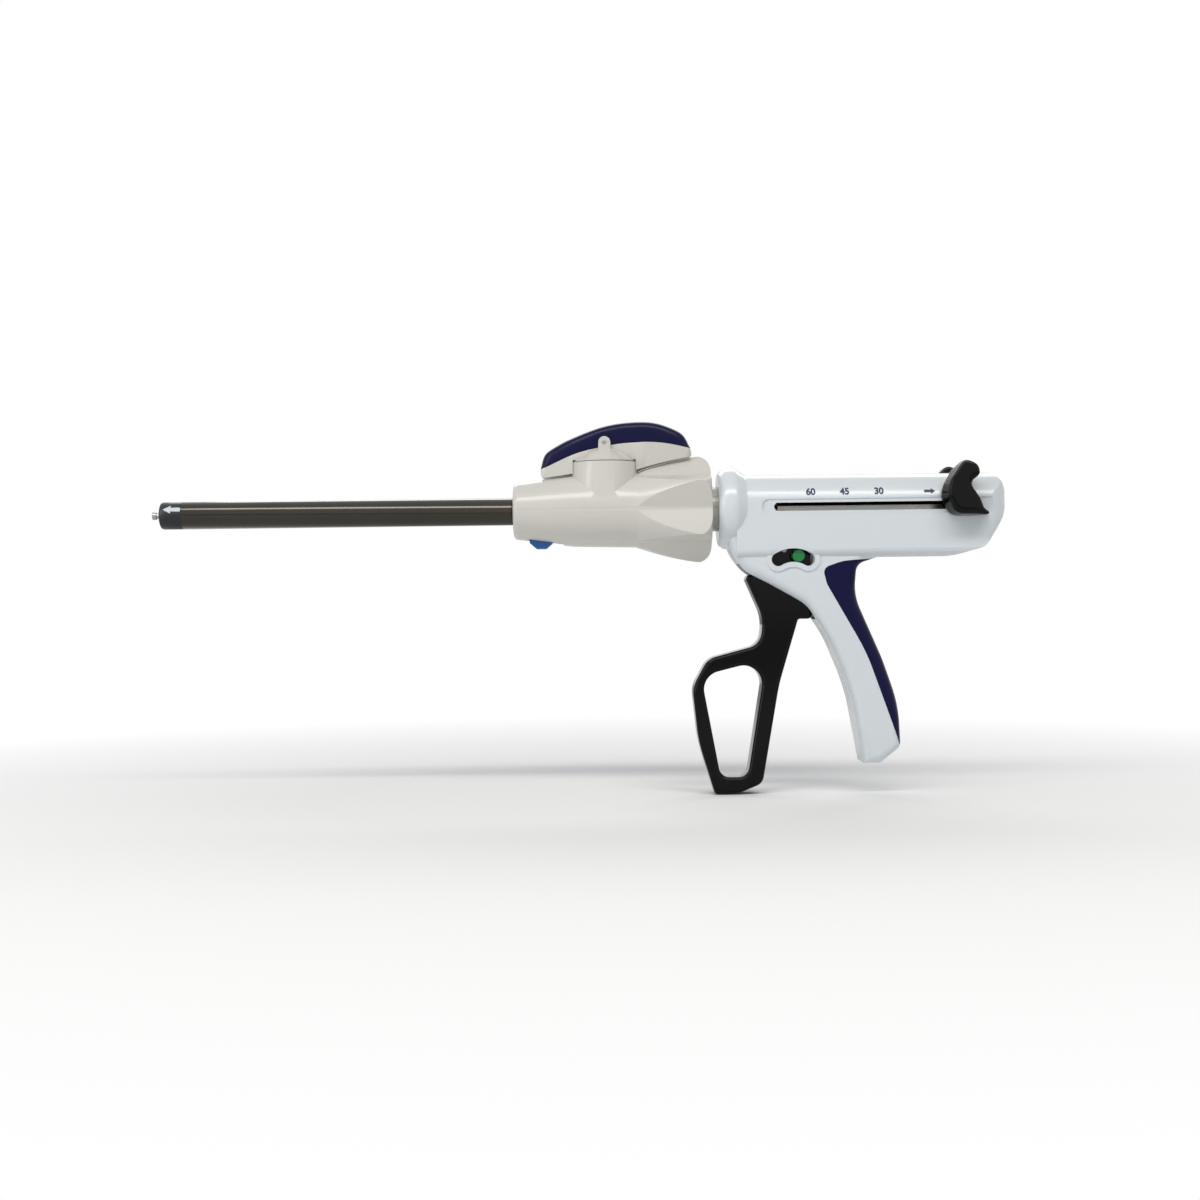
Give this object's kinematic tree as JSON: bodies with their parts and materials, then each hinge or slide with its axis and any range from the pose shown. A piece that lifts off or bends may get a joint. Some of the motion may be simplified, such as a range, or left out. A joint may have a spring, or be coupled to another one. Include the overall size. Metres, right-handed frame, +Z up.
{
  "type": "endoscopic stapler handle",
  "caption": "Hand-operated endoscopic linear stapler handle with pistol grip, finger-loop trigger, rotation collar, articulation lever, return knobs and a long straight shaft.",
  "frame": {"origin": "on the shaft's axis at the shoulder where the shaft enters the rotation collar", "axes": "+Z up with the grip hanging down, +X from the shaft's tip towards the handle, +Y to the user's right"},
  "size_m": [0.3734, 0.0496, 0.1636],
  "materials": {
    "shell_white": "cool white gloss moulding",
    "collar_beige": "warm light grey-beige gloss moulding",
    "navy": "deep navy moulding",
    "black": "gloss black moulding",
    "tube_dark": "dark gloss coated steel tube",
    "ring_dark": "satin black load ring",
    "steel": "plain steel",
    "button_blue": "mid blue moulding",
    "button_green": "green moulding",
    "core_plastic": "grey inner moulding",
    "seal_rubber": "seal rubber",
    "spring_steel": "spring steel"
  },
  "bodies": {
    "housing": {"left_housing": "shell_white", "right_housing": "shell_white", "grip_backstrap": "navy", "alignment_pins": "steel", "trigger_pivot_pin": "steel"},
    "collar": {"collar_upper_half": "collar_beige", "collar_lower_half": "collar_beige", "shaft_tube": "tube_dark", "load_ring": "ring_dark", "inner_shaft_upper": "core_plastic", "inner_shaft_lower": "core_plastic", "distal_seal": "seal_rubber", "proximal_seal": "seal_rubber", "unload_spring": "spring_steel"},
    "unload_button": {"unload_button": "button_blue"},
    "lever": {"lever_hub": "collar_beige", "lever_body": "collar_beige", "lever_cap": "navy", "lever_cross_pin": "steel", "articulation_cam": "steel"},
    "link": {"articulation_link": "steel"},
    "trigger": {"trigger": "black", "pawl_pin": "steel", "trigger_return_spring": "spring_steel", "pawl_spring": "spring_steel"},
    "pawl": {"firing_pawl": "steel"},
    "safety_button": {"safety_button": "button_green"},
    "rack": {"actuation_rack": "steel", "control_rod": "steel", "release_plate": "steel", "retraction_pin": "steel", "left_return_knob": "black", "right_return_knob": "black"}
  },
  "joints": [
    {"name": "collar_rotation", "type": "hinge", "parent": "housing", "child": "collar", "pos_m": [0, 0, 0], "axis": [1, 0, 0], "continuous": true},
    {"name": "articulation_swing", "type": "hinge", "parent": "collar", "child": "lever", "pos_m": [0.0405, 0, 0], "axis": [0, 0, 1], "range_deg": [-45, 45]},
    {"name": "articulation_link_slide", "type": "slide", "parent": "collar", "child": "link", "axis": [1, 0, 0], "range_m": [-0.0031, 0.0031]},
    {"name": "unload_press", "type": "slide", "parent": "collar", "child": "unload_button", "axis": [1, 0, 0], "range_m": [0, 0.004], "stiffness_N_per_m": 400, "springref_m": -0.002, "deforming": ["unload_spring"]},
    {"name": "trigger_squeeze", "type": "hinge", "parent": "housing", "child": "trigger", "pos_m": [0.1216, 0, -0.0333], "axis": [0, -1, 0], "range_deg": [0, 26], "stiffness_Nm_per_rad": 0.3, "springref_deg": -14.32},
    {"name": "pawl_release", "type": "hinge", "parent": "trigger", "child": "pawl", "pos_m": [0.1186, 0, -0.0183], "axis": [0, -1, 0], "range_deg": [0, 12], "stiffness_Nm_per_rad": 0.01, "springref_deg": -17.19},
    {"name": "safety_press", "type": "slide", "parent": "trigger", "child": "safety_button", "axis": [0, 1, 0], "range_m": [-0.002, 0.002]},
    {"name": "rack_advance", "type": "slide", "parent": "housing", "child": "rack", "axis": [-1, 0, 0], "range_m": [0, 0.08]}
  ],
  "couplings": [
    {"joint": "articulation_link_slide", "follows": "articulation_swing", "m_per_rad": -0.0038197}
  ]
}
